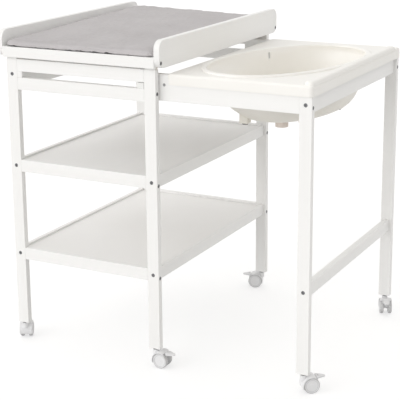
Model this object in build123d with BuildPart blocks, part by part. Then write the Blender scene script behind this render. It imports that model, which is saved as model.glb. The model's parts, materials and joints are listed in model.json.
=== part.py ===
from build123d import *
from collections import namedtuple
import math
import os

# A changing table on castors, with a bath tub on a frame that slides out from under its top.
# Sizes are in millimetres. Places are given in table coordinates: X runs right from the outer face
# of the main frame's left legs, Y runs back from the front face of its front legs, Z is up from the floor.

os.makedirs("parts", exist_ok=True)

# The main frame
unit_width = 520
unit_depth = 790
frame_top = 913
castor_height = 57
leg_width = 38
board_thick = 19
rail_height = 38
slot_height = 19
shelf_tops = {"middle": 597, "bottom": 311}
shelf_drop = 6
shelf_thick = 6
groove_depth = 5
panel_clear = 0.2
edge_rounding = 1.2
cut_overrun = 5

# The changing top: a panel between two tall guards and two low boards
top_gap = 6
guard_height = 81
guard_gap = 3
guard_corner = 28
top_overhang = 14
top_board_height = 32
top_panel_thick = 8
corner_block_size = 35
pad_inset = 2

# The changing mat
mat_side_gap = 1
mat_front_gap = 3
mat_seat_gap = 0.3
mat_edge_height = 18
mat_crown = 39
mat_roll = 26
mat_bulge = 3
mat_draw = 5
# The mat's sections from an end to its middle: how far in, as a share of the end's roll and beyond 1
# of the way to the middle, then how far the sides are drawn in and how high it stands, as shares.
mat_section_shares = [
    (0, 1, 0.5),
    (0.15, 0.5, 0.68),
    (0.5, 0.2, 0.86),
    (1, 0, 0.94),
    (1.3, 0.4, 0.98),
    (2, 1, 1),
]

# Bolts with barrel nuts, and dowels
bolt_radius = 3
bolt_hole_radius = 3.05
bolt_head_radius = 5.5
bolt_head_height = 4
bolt_head_clear = 0.4
bolt_end = 3
socket_radius = 2.9
socket_depth = 2.5
nut_radius = 5
nut_hole_radius = 5.05
nut_length = 14
nut_slot_width = 1.2
nut_slot_depth = 1.5
nut_inset = 27
bolt_step = 10
lower_rail_bolt_rise = 5
dowel_radius = 4
dowel_hole_radius = 4.05
dowel_reach = 15
dowel_end_clear = 1
dowel_inset = 10

# The sliding frame that carries the tub
slide_gap = 4
back_gap = 12
closed_gap = 32
stop_clear = 1
stop_length = 17
stop_seat_gap = 0.2
guide_length = 22
guide_inset = 7
guide_seat_gap = 0.3
guide_top_clear = 1.5
tub_board_height = 78
tub_bolt_rise = 18
end_bolt_rise = 26
cross_rail_top = 326

# The bath tub
rim_top = 902
rim_inset = 93
skirt_height = 32
rim_overhang = 3.2
rim_corner = 13
rim_rounding = 7
tub_wall = 2.8
tub_seat_gap = 0.3
rim_clear = 0.3
skirt_clear = 2
notch_clear = 0.5
ridge_width = 30
ridge_height = 10
ridge_root = 2
ridge_corner = 14
ridge_rounding = 9
ridge_front_gap = 5
ridge_back_gap = 45
lip_height = 5.5
lip_width = 17
lip_rounding = 4.5
oval_power = 2.15
oval_points = 28
basin_depth = 152
mouth_margin_x = 43
mouth_margin_y = 55
basin_turn = -12.2
# The basin's sections from the rim down: depth, half width, half length, the centre's way from the
# rim's centre along X and Y, and turn, as shares of the basin's depth, mouth's half sizes and turn.
basin_section_shares = [
    (0, 1, 1, 0.003, -0.047, 1),
    (0.27, 0.973, 0.959, 0.025, -0.025, 0.82),
    (0.54, 0.956, 0.905, 0.047, -0.006, 0.5),
    (0.74, 0.934, 0.848, 0.052, 0.006, 0.25),
    (0.89, 0.863, 0.76, 0.057, 0.016, 0),
    (0.97, 0.743, 0.703, 0.057, 0.016, 0),
    (1, 0.612, 0.652, 0.057, 0.016, 0),
]
foot_width = 26
foot_height = 13
foot_rise = 30
foot_pad_radius = 9
foot_pad_height = 4
foot_place_shares = [(-0.347, -0.589), (0.5, -0.33), (0.593, 0.408), (-0.61, 0.408)]

# The overflow slot high in the basin's wall, as a way from the rim's centre in shares of the mouth's half sizes
overflow_place_share = (-0.748, 0.455)
overflow_turn = 154
overflow_drop = 18
overflow_width = 8
overflow_length = 22
overflow_reach = 12

# The drain in the tub's floor, with its plug
drain_place_share = (-0.01, -0.177)
drain_radius = 20
drain_length = 45
drain_bore = 13
drain_neck = 15
drain_neck_clear = 0.1
drain_flange_radius = 26
drain_flange_thick = 2.5
drain_end_rounding = 1.5
plug_clear = 0.3
plug_depth = 6
plug_radius = 17
plug_thick = 3
plug_knob_radius = 3
plug_knob_height = 9

# The castors: twin wheels that trail behind a stem, and a brake lever at the back
wheel_radius = 24
wheel_width = 11.5
wheel_inner = 8
wheel_rounding = 3
wheel_dish_radius = 19
wheel_dish_depth = 1.2
wheel_boss_radius = 6
wheel_cap = 2.5
castor_trail = 22
axle_radius = 3
axle_clear = 0.05
axle_end_clear = 0.3
web_half = 7.2
fender_inner = 24.9
fender_thick = 2.7
fender_half = 20
fender_start = 62
fender_end = 200
fender_rounding = 1
web_start = 35
web_step = 0.6
web_step_angle = 4
web_hub_radius = 8
swivel_radius = 9.5
swivel_base = 37
swivel_clear = 0.2
stem_radius = 4
stem_clear = 0.05
stem_bottom = 41
stem_reach = 33
stem_nut_radius = 7.5
stem_nut_height = 3
lever_angle = 50
lever_distance = 29
lever_eye_radius = 3.6
lever_pin_radius = 1.5
lever_ear_inner = 7.6
lever_ear_outer = 11.6
lever_reach = 66
lever_tip_radius = 6
lever_tip_half = 2.2
lever_drop = 1
lever_web_clear = 0.8

# Where each castor's stem is, and the way it trails, in degrees from +X towards the back
main_left_x = leg_width / 2
main_right_x = unit_width - leg_width / 2
main_front_y = board_thick / 2
main_back_y = unit_depth - board_thick / 2

# Places that follow from those sizes
slot_length = unit_width - 2 * leg_width
travel = slot_length - stop_length - guide_length - 2 * stop_clear
tub_right = unit_width + closed_gap + leg_width + travel
tub_leg_left = tub_right - leg_width
tub_leg_x = tub_right - leg_width / 2
tub_left = unit_width - leg_width - stop_clear - guide_length - guide_inset
tub_front = board_thick + slide_gap
tub_back = unit_depth - board_thick - back_gap
tub_frame_top = rim_top - tub_wall - tub_seat_gap
tub_frame_base = tub_frame_top - tub_board_height
upper_rail_base = frame_top - rail_height
lower_rail_base = upper_rail_base - slot_height - rail_height
lower_rail_top = lower_rail_base + rail_height
top_base = frame_top + top_gap
top_surface = top_base + top_board_height
rim_right = tub_right + rim_overhang
rim_left = tub_left + rim_inset
rim_front = tub_front - rim_overhang
rim_back = tub_back + rim_overhang
basin_base = rim_top - basin_depth
mouth_half_x = (rim_right - rim_left) / 2 - mouth_margin_x
mouth_half_y = (rim_back - rim_front) / 2 - mouth_margin_y

castors = {
    "front_left": (main_left_x, main_front_y, 116),
    "front_right": (main_right_x, main_front_y, 0),
    "back_left": (main_left_x, main_back_y, -70),
    "back_right": (main_right_x, main_back_y, 200),
    "tub_front": (tub_leg_x, tub_front + board_thick / 2, 40),
    "tub_back": (tub_leg_x, tub_back - board_thick / 2, -64),
}

# The origin is on the floor, in the middle of the whole object's width and depth
lever_tip_x, lever_tip_turn = castors["tub_front"][0], math.radians(castors["tub_front"][2])
far_right = lever_tip_x + (lever_reach - lever_tip_radius) * math.cos(lever_tip_turn) + lever_tip_radius
far_left = -guard_gap - board_thick
origin_x = (far_left + far_right) / 2
origin_y = unit_depth / 2


def place(x, y, z):
    """Turns table coordinates into the model's own."""
    return Vector(x - origin_x, y - origin_y, z)


def level(z):
    """A level plane whose X and Y are table coordinates."""
    return Plane(origin=place(0, 0, z))


def side_plane(x):
    """An upright plane that faces right, with table Y across it and height up it."""
    return Plane(origin=place(x, 0, 0), x_dir=(0, 1, 0), z_dir=(1, 0, 0))


def front_plane(y):
    """An upright plane that faces the front, with table X across it and height up it."""
    return Plane(origin=place(0, y, 0), x_dir=(1, 0, 0), z_dir=(0, -1, 0))


def save(piece, name):
    """Names a finished piece and writes it."""
    piece.part.label = name
    export_step(piece.part, "parts/" + name + ".step")
    print(name, len(piece.part.solids()), round(piece.part.volume))


def block(x, y, z, mode=Mode.ADD):
    """A rectangular block over three spans, added to or cut from the part being built."""
    with BuildSketch(level(z[0])) as outline:
        with Locations(((x[0] + x[1]) / 2, (y[0] + y[1]) / 2)):
            Rectangle(x[1] - x[0], y[1] - y[0])
    extrude(outline.sketch, amount=z[1] - z[0], mode=mode)


def grow(span, amount):
    """A span made longer at both ends."""
    return (span[0] - amount, span[1] + amount)


def rod(plane, radius, length, mode=Mode.ADD):
    """A round rod that runs from a plane along its normal, added or cut."""
    with BuildSketch(plane) as circle:
        Circle(radius)
    extrude(circle.sketch, amount=length, mode=mode)


# Where bolts and dowels go. A fixing has the plane of its outer end, the plane on the board's face
# where the barrel nut goes in, and the way from the bolt's head face to the nut's middle.
Fixing = namedtuple("Fixing", "start, end, seat, nut, grip")


def fixing(point, into, through, across):
    """A bolt from a point on a leg's face, through the leg and into a board's end."""
    grip = through + nut_inset
    start = Vector(*point)
    end = start + Vector(*into) * (grip + nut_radius + bolt_end)
    seat = Plane(origin=place(*start), x_dir=(0, 0, 1), z_dir=into)
    on_face = start + Vector(*into) * grip - Vector(*across) * (board_thick / 2)
    nut = Plane(origin=place(*on_face), x_dir=(0, 0, 1), z_dir=across)
    return Fixing(start, end, seat, nut, grip)


def crossing(fixings, x, y, z):
    """The fixings whose bolts run through a block."""
    found = []
    for item in fixings:
        spans = zip((x, y, z), item.start, item.end)
        if all(low < max(a, b) and min(a, b) < high for (low, high), a, b in spans):
            found.append(item)
    return found


def drill(fixings):
    """Cuts the holes of bolts and barrel nuts into the part being built."""
    for item in fixings:
        length = item.grip + nut_radius + 2 * bolt_end
        rod(item.seat, bolt_hole_radius, length, Mode.SUBTRACT)
        head_hole = item.seat.offset(-cut_overrun)
        rod(head_hole, bolt_head_radius + bolt_head_clear, bolt_head_height + cut_overrun, Mode.SUBTRACT)
        nut_hole = item.nut.offset(-cut_overrun)
        rod(nut_hole, nut_hole_radius, nut_length + cut_overrun, Mode.SUBTRACT)


def board(name, x, y, z, fixings):
    """One plain wooden board with eased edges and its bolt holes."""
    with BuildPart() as piece:
        block(x, y, z)
        fillet(piece.edges(), edge_rounding)
        drill(crossing(fixings, x, y, z))
    save(piece, name)


left_leg = (0, leg_width)
right_leg = (unit_width - leg_width, unit_width)
front_face = (0, board_thick)
back_face = (unit_depth - board_thick, unit_depth)
between_x = (leg_width, unit_width - leg_width)
between_y = (board_thick, unit_depth - board_thick)
left_rail = (main_left_x - board_thick / 2, main_left_x + board_thick / 2)
right_rail = (main_right_x - board_thick / 2, main_right_x + board_thick / 2)
side_board_z = (lower_rail_base, frame_top)
lower_rail_z = (lower_rail_base, lower_rail_top)
upper_rail_z = (upper_rail_base, frame_top)

main_fixings = []
for x, side in ((main_left_x, -1), (main_right_x, 1)):
    for y, end in ((main_front_y, -1), (main_back_y, 1)):
        outer_x = 0 if side < 0 else unit_width
        outer_y = 0 if end < 0 else unit_depth
        side_heights = [top - rail_height / 2 for top in shelf_tops.values()]
        cross_heights = [height - bolt_step for height in side_heights]
        cross_heights.append(lower_rail_base + rail_height / 2 + lower_rail_bolt_rise)
        if side < 0:
            side_heights.append((lower_rail_base + frame_top) / 2)
        for height in side_heights:
            head = (x, outer_y, height)
            main_fixings.append(fixing(head, (0, -end, 0), board_thick, (side, 0, 0)))
        for height in cross_heights:
            head = (outer_x, y, height)
            main_fixings.append(fixing(head, (-side, 0, 0), leg_width, (0, end, 0)))

top_front = (-top_overhang, board_thick - top_overhang)
top_back = (unit_depth - board_thick + top_overhang, unit_depth + top_overhang)
top_between_x = (-guard_gap, unit_width + guard_gap)
for side, outer_x in ((-1, -guard_gap - board_thick), (1, unit_width + guard_gap + board_thick)):
    for span, end in ((top_front, -1), (top_back, 1)):
        head = (outer_x, (span[0] + span[1]) / 2, top_base + top_board_height / 2)
        main_fixings.append(fixing(head, (-side, 0, 0), board_thick, (0, end, 0)))


# The four legs, with holes for the castors' stems and the upper rails' dowels
def dowel_planes(x, y_span, z_span, facing):
    """The planes on a leg's inner face from which two dowels run into it."""
    y = (y_span[0] + y_span[1]) / 2
    heights = (z_span[0] + dowel_inset, z_span[1] - dowel_inset)
    return [Plane(origin=place(x, y, z), x_dir=(0, 0, 1), z_dir=(facing, 0, 0)) for z in heights]


leg_spots = {
    "front_left": (left_leg, front_face, leg_width, -1),
    "front_right": (right_leg, front_face, unit_width - leg_width, 1),
    "back_left": (left_leg, back_face, leg_width, -1),
    "back_right": (right_leg, back_face, unit_width - leg_width, 1),
}
leg_z = (castor_height, frame_top)
for spot, (x, y, inner_x, side) in leg_spots.items():
    with BuildPart() as leg:
        block(x, y, leg_z)
        fillet(leg.edges(), edge_rounding)
        drill(crossing(main_fixings, x, y, leg_z))
        for seat in dowel_planes(inner_x, y, upper_rail_z, side):
            rod(seat, dowel_hole_radius, dowel_reach + dowel_end_clear, Mode.SUBTRACT)
        stem_x, stem_y, turn = castors[spot]
        stem_hole = Plane(origin=place(stem_x, stem_y, castor_height))
        rod(stem_hole, stem_radius + stem_clear, stem_reach + stem_clear, Mode.SUBTRACT)
    save(leg, "leg_" + spot)

# The front and back rails above and below the slot that the tub's frame runs in, and a block that stops it
stop_x = (leg_width + stop_seat_gap, leg_width + stop_length)
stop_z = grow((lower_rail_top, upper_rail_base), -stop_seat_gap)
for where, y in (("front", front_face), ("back", back_face)):
    with BuildPart() as lower_rail:
        block(between_x, y, lower_rail_z)
        block(stop_x, y, stop_z)
        fillet(lower_rail.edges(), edge_rounding)
        drill(crossing(main_fixings, between_x, y, lower_rail_z))
    save(lower_rail, "lower_" + where + "_rail")

    with BuildPart() as upper_rail:
        block(between_x, y, upper_rail_z)
        fillet(upper_rail.edges(), edge_rounding)
        for x, facing in ((leg_width, 1), (unit_width - leg_width, -1)):
            for seat in dowel_planes(x, y, upper_rail_z, facing):
                rod(seat, dowel_hole_radius, dowel_reach + dowel_end_clear, Mode.SUBTRACT)
    save(upper_rail, "upper_" + where + "_rail")

with BuildPart() as rail_dowels:
    for x, y, inner_x, side in leg_spots.values():
        for seat in dowel_planes(inner_x, y, upper_rail_z, side):
            rod(seat.offset(-dowel_reach), dowel_radius, 2 * dowel_reach)
save(rail_dowels, "rail_dowels")

board("left_side_board", left_rail, between_y, side_board_z, main_fixings)

# Two shelves: front and back rails between the legs, side rails with a rebate, and a panel that lies in it
for shelf, shelf_top in shelf_tops.items():
    rail_z = (shelf_top - rail_height, shelf_top)
    panel_z = (shelf_top - shelf_drop - shelf_thick, shelf_top - shelf_drop)
    with BuildPart() as cross_rails:
        for y in (front_face, back_face):
            block(between_x, y, rail_z)
        fillet(cross_rails.edges(), edge_rounding)
        for y in (front_face, back_face):
            drill(crossing(main_fixings, between_x, y, rail_z))
    save(cross_rails, shelf + "_shelf_cross_rails")

    with BuildPart() as side_rails:
        for x in (left_rail, right_rail):
            block(x, between_y, rail_z)
        fillet(side_rails.edges(), edge_rounding)
        rebate_x = (left_rail[1] - groove_depth, right_rail[0] + groove_depth)
        rebate_z = (panel_z[0] - panel_clear, shelf_top + cut_overrun)
        block(rebate_x, grow(between_y, cut_overrun), rebate_z, Mode.SUBTRACT)
        for x in (left_rail, right_rail):
            drill(crossing(main_fixings, x, between_y, rail_z))
    save(side_rails, shelf + "_shelf_side_rails")

    with BuildPart() as shelf_panel:
        block(grow(rebate_x, -panel_clear), grow(between_y, -panel_clear), panel_z)
    save(shelf_panel, shelf + "_shelf_panel")

# The changing top
top_board_z = (top_base, top_surface)
board("top_front_board", top_between_x, top_front, top_board_z, main_fixings)
board("top_back_board", top_between_x, top_back, top_board_z, main_fixings)

panel_z = (top_surface - top_panel_thick, top_surface)
panel_y = (top_front[1], top_back[0])
groove_x = grow(top_between_x, groove_depth)
guard_x = {"left": -guard_gap - board_thick, "right": unit_width + guard_gap}
for side, low_x in guard_x.items():
    with BuildPart() as guard:
        with BuildSketch(side_plane(low_x)) as outline:
            with Locations((unit_depth / 2, top_base + guard_height / 2)):
                Rectangle(unit_depth + 2 * top_overhang, guard_height)
            fillet(outline.vertices().group_by(Axis.Z)[-1], guard_corner)
        extrude(amount=board_thick)
        fillet(guard.edges(), edge_rounding)
        block(groove_x, panel_y, grow(panel_z, panel_clear), Mode.SUBTRACT)
        span_x = (low_x, low_x + board_thick)
        span_z = (top_base, top_base + guard_height)
        drill(crossing(main_fixings, span_x, (top_front[0], top_back[1]), span_z))
    save(guard, "top_" + side + "_guard")

with BuildPart() as top_panel:
    block(grow(groove_x, -panel_clear), grow(panel_y, -panel_clear), panel_z)
save(top_panel, "top_panel")

# Blocks in the corners under the panel rest on pads on the legs
with BuildPart() as corner_blocks:
    for low_x in (top_between_x[0], top_between_x[1] - corner_block_size):
        for low_y in (top_front[1], top_back[0] - corner_block_size):
            block((low_x, low_x + corner_block_size), (low_y, low_y + corner_block_size), (top_base, panel_z[0]))
save(corner_blocks, "top_corner_blocks")

with BuildPart() as pads:
    for x, y, inner_x, side in leg_spots.values():
        block(grow(x, -pad_inset), grow(y, -pad_inset), (frame_top, top_base))
save(pads, "top_pads")


# The mat: a cushion with a raised middle, sides drawn in and rounded ends
def mat_section(y, inset, edge, crown):
    """One section of the mat across its width."""
    low_x = top_between_x[0] + mat_side_gap + mat_bulge + inset
    high_x = top_between_x[1] - mat_side_gap - mat_bulge - inset
    base = top_surface + mat_seat_gap
    with BuildSketch(front_plane(y)) as section:
        with BuildLine():
            Line((low_x, base), (high_x, base))
            ThreePointArc((high_x, base), (high_x + mat_bulge, base + edge / 2), (high_x, base + edge))
            ThreePointArc((high_x, base + edge), (unit_width / 2, base + crown), (low_x, base + edge))
            ThreePointArc((low_x, base + edge), (low_x - mat_bulge, base + edge / 2), (low_x, base))
        make_face()
    return section.sketch


mat_front = top_front[0] + mat_front_gap
mat_back = top_back[0]
mat_middle = (mat_front + mat_back) / 2
with BuildPart() as mat:
    mat_half = []
    for reach_share, draw_share, height_share in mat_section_shares:
        way = mat_roll if reach_share <= 1 else mat_middle - mat_front
        inward = way * (reach_share if reach_share <= 1 else reach_share - 1)
        edge = mat_edge_height * height_share
        crown = mat_crown * height_share
        mat_half.append((inward, mat_draw * draw_share, edge, crown))
    sections = [mat_section(mat_front + inward, *rest) for inward, *rest in mat_half]
    sections += [mat_section(mat_back - inward, *rest) for inward, *rest in reversed(mat_half[:-1])]
    loft(sections, ruled=True)
save(mat, "changing_mat")

# The tub's frame
tub_front_span = (tub_front, tub_front + board_thick)
tub_back_span = (tub_back - board_thick, tub_back)
tub_between_y = (tub_front_span[1], tub_back_span[0])
tub_leg_span = (tub_leg_left, tub_right)
tub_board_x = (tub_left, tub_leg_left)
tub_board_z = (tub_frame_base, tub_frame_top)
tub_rail_x = (tub_leg_x - board_thick / 2, tub_leg_x + board_thick / 2)
tie_x = (tub_left, tub_left + board_thick)
tie_z = (tub_frame_base, tub_frame_base + rail_height)
cross_rail_z = (cross_rail_top - rail_height, cross_rail_top)
rim_inner_rounding = rim_rounding - tub_wall
rim_mid = ((rim_left + rim_right) / 2, (rim_front + rim_back) / 2)
rim_size = (rim_right - rim_left, rim_back - rim_front)
skirt_base = rim_top - skirt_height


def rim_form(inset, base, top):
    """The rim's outer form, drawn in by an inset, between two heights."""
    with BuildPart() as form:
        with BuildSketch(level(base)):
            with Locations(rim_mid):
                RectangleRounded(rim_size[0] - 2 * inset, rim_size[1] - 2 * inset, rim_corner - inset)
        extrude(amount=top - base)
        fillet(form.edges().group_by(Axis.Z)[-1], rim_rounding - inset)
    return form.part


# What the frame's upper ends lose, so that they fit into the rim's rounded corners
with BuildPart() as beyond_rim:
    block(grow((rim_left, rim_right), rim_inset), grow((rim_front, rim_back), rim_inset),
          (skirt_base - skirt_clear, rim_top))
    add(rim_form(tub_wall + rim_clear, skirt_base - 2 * skirt_clear, tub_frame_top), mode=Mode.SUBTRACT)
    block(grow((tub_left, rim_left), rim_corner), grow((rim_front, rim_back), rim_inset),
          (skirt_base - 2 * skirt_clear, rim_top), Mode.SUBTRACT)

tub_fixings = []
for span, end in ((tub_front_span, -1), (tub_back_span, 1)):
    face = span[0] if end < 0 else span[1]
    middle = (span[0] + span[1]) / 2
    head = (tub_right, middle, tub_frame_base + tub_bolt_rise)
    tub_fixings.append(fixing(head, (-1, 0, 0), leg_width, (0, end, 0)))
    for x, height, across in (
        (tub_leg_x, tub_frame_base + end_bolt_rise, 1),
        (tub_leg_x, cross_rail_top - rail_height / 2, 1),
        (tub_left + board_thick / 2, tub_frame_base + tub_bolt_rise, -1),
    ):
        tub_fixings.append(fixing((x, face, height), (0, -end, 0), board_thick, (across, 0, 0)))


for where, span, end in (("front", tub_front_span, -1), ("back", tub_back_span, 1)):
    tub_leg_z = (castor_height, tub_frame_top)
    with BuildPart() as tub_leg:
        block(tub_leg_span, span, tub_leg_z)
        fillet(tub_leg.edges(), edge_rounding)
        add(beyond_rim.part, mode=Mode.SUBTRACT)
        drill(crossing(tub_fixings, tub_leg_span, span, tub_leg_z))
        stem_x, stem_y, turn = castors["tub_" + where]
        stem_hole = Plane(origin=place(stem_x, stem_y, castor_height))
        rod(stem_hole, stem_radius + stem_clear, stem_reach + stem_clear, Mode.SUBTRACT)
    save(tub_leg, "tub_leg_" + where)

    with BuildPart() as tub_board:
        block(tub_board_x, span, tub_board_z)
        fillet(tub_board.edges(), edge_rounding)
        add(beyond_rim.part, mode=Mode.SUBTRACT)
        drill(crossing(tub_fixings, tub_board_x, span, tub_board_z))
    save(tub_board, "tub_frame_" + where + "_board")

board("tub_frame_end_board", tub_rail_x, tub_between_y, tub_board_z, tub_fixings)
board("tub_frame_inner_tie", tie_x, tub_between_y, tie_z, tub_fixings)
board("tub_frame_cross_rail", tub_rail_x, tub_between_y, cross_rail_z, tub_fixings)

# Blocks on the frame's inner end run in the slots between the main frame's rails
guide_x = (tub_left + guide_inset, tub_left + guide_inset + guide_length)
guide_z = (lower_rail_top + guide_seat_gap, upper_rail_base - guide_top_clear)
with BuildPart() as guides:
    block(guide_x, (0, tub_front), guide_z)
    block(guide_x, (tub_back, unit_depth), guide_z)
    fillet(guides.edges().filter_by(Axis.Y), edge_rounding)
save(guides, "tub_frame_guides")


# The tub: a rim with a skirt round the frame, a raised lip and a turned oval basin
def oval(height, half_x, half_y, shift_x, shift_y, turn):
    """One level section of the basin, as a smooth closed curve through a superellipse."""
    angle = math.radians(turn)
    points = []
    for step in range(oval_points):
        t = 2 * math.pi * step / oval_points
        across = half_x * math.copysign(abs(math.cos(t)) ** (2 / oval_power), math.cos(t))
        along = half_y * math.copysign(abs(math.sin(t)) ** (2 / oval_power), math.sin(t))
        x = rim_mid[0] + shift_x + across * math.cos(angle) - along * math.sin(angle)
        y = rim_mid[1] + shift_y + across * math.sin(angle) + along * math.cos(angle)
        points.append((x, y))
    with BuildSketch(level(height)) as section:
        with BuildLine():
            Spline(points, periodic=True)
        make_face()
    return section.sketch


def basin_section(shares, outset, height):
    """The oval at one row of the basin's shares, made larger by an outset, at a height."""
    depth_share, x_share, y_share, shift_x_share, shift_y_share, turn_share = shares
    return oval(height, mouth_half_x * x_share + outset, mouth_half_y * y_share + outset,
                mouth_half_x * shift_x_share, mouth_half_y * shift_y_share, basin_turn * turn_share)


def basin(inset):
    """The basin's solid form, drawn in and lifted by an inset below the mouth."""
    sections = []
    for shares in basin_section_shares:
        lift = inset if shares[0] > 0 else 0
        sections.append(basin_section(shares, -inset, rim_top - basin_depth * shares[0] + lift))
    return sections


def foot_centres():
    """Where the tub's feet are, in table coordinates."""
    return [(rim_mid[0] + mouth_half_x * x_share, rim_mid[1] + mouth_half_y * y_share)
            for x_share, y_share in foot_place_shares]


def ridge(inset, base):
    """The raised ridge along the rim's right edge, drawn in by an inset, from a height up."""
    ridge_y = (rim_front + ridge_front_gap + inset, rim_back - ridge_back_gap - inset)
    crest = rim_top + ridge_height - inset
    with BuildPart() as form:
        with BuildSketch(level(base)):
            with Locations((rim_right - ridge_width / 2, (ridge_y[0] + ridge_y[1]) / 2)):
                RectangleRounded(ridge_width - 2 * inset, ridge_y[1] - ridge_y[0], ridge_corner - inset)
        extrude(amount=crest - base)
        fillet(form.edges().group_by(Axis.Z)[-1], ridge_rounding - inset)
    return form.part


mouth_shares = basin_section_shares[0]
with BuildPart() as basin_outside:
    loft(basin(0))

with BuildPart() as basin_inside:
    loft(basin(tub_wall))
    extrude(basin_section(mouth_shares, -tub_wall, rim_top), amount=lip_height + cut_overrun)

with BuildPart() as bath_tub:
    add(rim_form(0, skirt_base, rim_top))
    add(rim_form(tub_wall, skirt_base - cut_overrun, rim_top - tub_wall), mode=Mode.SUBTRACT)
    extrude(basin_section(mouth_shares, lip_width - tub_wall, rim_top - tub_wall), amount=tub_wall + lip_height)
    add(basin_outside.part)
    for x, y in foot_centres():
        half = foot_width / 2
        foot_z = (basin_base - foot_height, basin_base + foot_rise)
        block((x - half, x + half), (y - half, y + half), foot_z)
    add(basin_inside.part, mode=Mode.SUBTRACT)
    lip_edges = bath_tub.edges().filter_by_position(Axis.Z, rim_top + lip_height / 2, rim_top + 2 * lip_height)
    fillet(lip_edges, lip_rounding)
    add(ridge(0, rim_top - ridge_root))
    add(ridge(tub_wall, rim_top - tub_wall - cut_overrun), mode=Mode.SUBTRACT)
    overflow_x = rim_mid[0] + mouth_half_x * overflow_place_share[0]
    overflow_y = rim_mid[1] + mouth_half_y * overflow_place_share[1]
    outward = Vector(math.cos(math.radians(overflow_turn)), math.sin(math.radians(overflow_turn)), 0)
    overflow_middle = place(overflow_x, overflow_y, rim_top - overflow_drop)
    with BuildSketch(Plane(origin=overflow_middle, x_dir=(0, 0, 1), z_dir=outward)) as overflow:
        SlotOverall(overflow_length, overflow_width)
    extrude(overflow.sketch, amount=overflow_reach, both=True, mode=Mode.SUBTRACT)
    for span in (tub_front_span, tub_back_span):
        notch_x = (rim_left - cut_overrun, rim_left + rim_corner)
        notch_z = (skirt_base - cut_overrun, tub_frame_top + tub_seat_gap)
        block(notch_x, grow(span, notch_clear), notch_z, Mode.SUBTRACT)
    drain_x = rim_mid[0] + mouth_half_x * drain_place_share[0]
    drain_y = rim_mid[1] + mouth_half_y * drain_place_share[1]
    drain_floor = Plane(origin=place(drain_x, drain_y, basin_base))
    rod(drain_floor.offset(-cut_overrun), drain_neck + drain_neck_clear, tub_wall + 2 * cut_overrun, Mode.SUBTRACT)
save(bath_tub, "bath_tub")

with BuildPart() as foot_pads:
    for x, y in foot_centres():
        under = place(x, y, basin_base - foot_height - foot_pad_height)
        rod(Plane(origin=under), foot_pad_radius, foot_pad_height)
save(foot_pads, "tub_foot_pads")

# The drain's spout under the floor has a neck through it, held by a flange ring inside
floor_inside = drain_floor.offset(tub_wall)
neck_length = tub_wall + drain_flange_thick
with BuildPart() as drain_spout:
    rod(drain_floor.offset(-drain_length), drain_radius, drain_length)
    fillet(drain_spout.edges().group_by(Axis.Z)[0], drain_end_rounding)
    rod(drain_floor, drain_neck, neck_length)
    bore_length = drain_length + neck_length + cut_overrun
    rod(drain_floor.offset(-drain_length), drain_bore, bore_length, Mode.SUBTRACT)
    with BuildSketch(floor_inside) as flange:
        Circle(drain_flange_radius)
        Circle(drain_neck + drain_neck_clear, mode=Mode.SUBTRACT)
    extrude(amount=drain_flange_thick)
save(drain_spout, "drain_spout")

plug_seat = floor_inside.offset(drain_flange_thick + plug_clear)
with BuildPart() as plug:
    rod(plug_seat, plug_radius, plug_thick)
    rod(plug_seat.offset(-plug_depth), drain_bore - plug_clear, plug_depth)
    rod(plug_seat.offset(plug_thick), plug_knob_radius, plug_knob_height)
save(plug, "drain_plug")


# Bolts and barrel nuts of both frames
def bolts(fixings, name):
    """Socket-headed bolts, all in one group."""
    with BuildPart() as group:
        for item in fixings:
            rod(item.seat, bolt_head_radius, bolt_head_height)
            shank = item.seat.offset(bolt_head_height)
            rod(shank, bolt_radius, item.grip + nut_radius + bolt_end - bolt_head_height)
            with BuildSketch(item.seat) as socket:
                RegularPolygon(socket_radius, 6)
            extrude(socket.sketch, amount=socket_depth, mode=Mode.SUBTRACT)
    save(group, name)


def barrel_nuts(fixings, name):
    """Barrel nuts with the bolt's hole across them and a slot in the end, all in one group."""
    with BuildPart() as group:
        for item in fixings:
            rod(item.nut, nut_radius, nut_length)
        for item in fixings:
            rod(item.seat, bolt_hole_radius, item.grip + 2 * nut_radius, Mode.SUBTRACT)
            with BuildSketch(item.nut) as slot:
                Rectangle(2 * nut_radius, nut_slot_width)
            extrude(slot.sketch, amount=nut_slot_depth, mode=Mode.SUBTRACT)
    save(group, name)


bolts(main_fixings, "main_bolts")
barrel_nuts(main_fixings, "main_barrel_nuts")
bolts(tub_fixings, "tub_frame_bolts")
barrel_nuts(tub_fixings, "tub_frame_barrel_nuts")


# The castors
def castor_side(spot, sideways):
    """A castor's upright plane: X runs the way it trails, Y is height, and it faces sideways."""
    x, y, turn = spot
    angle = math.radians(turn)
    out = Vector(math.sin(angle), -math.cos(angle), 0)
    origin = place(x, y, 0) + out * sideways
    return Plane(origin=origin, x_dir=(math.cos(angle), math.sin(angle), 0), z_dir=out)


def castor_level(spot, height):
    """A level plane at a castor's stem whose X runs the way it trails."""
    x, y, turn = spot
    angle = math.radians(turn)
    return Plane(origin=place(x, y, height), x_dir=(math.cos(angle), math.sin(angle), 0), z_dir=(0, 0, 1))


def castor_rod(spot, centre, inner, outer, radius, mode=Mode.ADD):
    """A rod across a castor, from one distance sideways to another."""
    with BuildSketch(castor_side(spot, inner)) as circle:
        with Locations(centre):
            Circle(radius)
    extrude(circle.sketch, amount=outer - inner, mode=mode)


def stems(spots, name):
    """The fixed stems that the castors turn on, each with the nut that meets the leg."""
    with BuildPart() as group:
        for x, y, turn in spots:
            foot = Plane(origin=place(x, y, stem_bottom))
            rod(foot, stem_radius, castor_height + stem_reach - stem_bottom)
            with BuildSketch(Plane(origin=place(x, y, castor_height - stem_nut_height))) as nut:
                RegularPolygon(stem_nut_radius, 6)
            extrude(nut.sketch, amount=stem_nut_height)
    save(group, name)


stems([castors[spot] for spot in leg_spots], "main_castor_stems")
stems([castors["tub_front"], castors["tub_back"]], "tub_castor_stems")

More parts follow.
